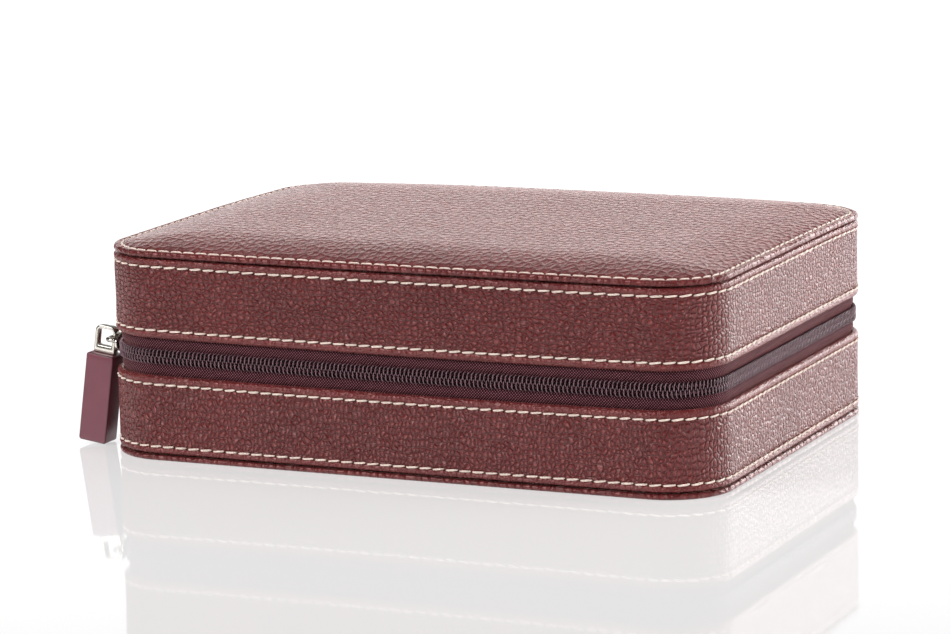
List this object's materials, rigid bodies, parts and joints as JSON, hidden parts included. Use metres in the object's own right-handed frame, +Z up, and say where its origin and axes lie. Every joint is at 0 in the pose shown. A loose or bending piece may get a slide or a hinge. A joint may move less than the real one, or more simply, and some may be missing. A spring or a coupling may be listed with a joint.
{
  "type": "watch travel case",
  "caption": "Zip-around leather travel case with two equal halves, a padded lid and divided cells with cushions that hold watches.",
  "frame": {"origin": "centre of the closed case's flat underside", "axes": "+X to the right along the case's width, +Y towards the hinge at the back, +Z up out of the lid"},
  "size_m": [0.2376, 0.165, 0.0715],
  "materials": {
    "shell_leather": "pebbled, semi-matt",
    "thread": "waxed sewing thread",
    "zip_tape": "woven",
    "zip_coil": "drawn nylon",
    "board": "pressed grey board",
    "suede": "brushed microfibre suede",
    "nickel": "polished nickel plate",
    "tab_enamel": "satin enamel"
  },
  "bodies": {
    "base": {"base_panel": "shell_leather", "base_board": "board", "base_wall_board": "board", "base_wall_leather": "shell_leather", "base_lining": "suede", "base_panel_stitching": "thread", "base_low_stitching": "thread", "base_edge_stitching": "thread", "base_zip_tape": "zip_tape", "base_zip_coil": "zip_coil", "base_zip_stops": "nickel", "hinge_spine": "shell_leather", "spine_lining": "suede", "base_floor_pad": "suede", "long_divider": "suede", "cross_divider_1": "suede", "cross_divider_2": "suede", "cross_divider_3": "suede", "watch_cushion_1": "suede", "watch_cushion_2": "suede", "watch_cushion_3": "suede", "watch_cushion_4": "suede", "watch_cushion_5": "suede", "watch_cushion_6": "suede", "watch_cushion_7": "suede", "watch_cushion_8": "suede"},
    "lid": {"lid_panel": "shell_leather", "lid_board": "board", "lid_wall_board": "board", "lid_wall_leather": "shell_leather", "lid_lining": "suede", "lid_panel_stitching": "thread", "lid_low_stitching": "thread", "lid_edge_stitching": "thread", "lid_zip_tape": "zip_tape", "lid_zip_coil": "zip_coil", "lid_zip_stops": "nickel", "lid_pad": "suede"},
    "slider": {"slider_body": "nickel", "slider_crown": "nickel"},
    "pull": {"pull_ring": "nickel", "pull_tab": "tab_enamel"}
  },
  "joints": [
    {"name": "lid_hinge", "type": "hinge", "parent": "base", "child": "lid", "pos_m": [0, 0.0831, 0.03575], "axis": [-1, 0, 0], "range_deg": [0, 180]},
    {"name": "slider_slide", "type": "slide", "parent": "base", "child": "slider", "axis": [0, 1, 0], "range_m": [0, 0.105]},
    {"name": "pull_swing", "type": "hinge", "parent": "slider", "child": "pull", "pos_m": [-0.1166, -0.0629, 0.0369], "axis": [0, 1, 0], "range_deg": [0, 165]}
  ]
}
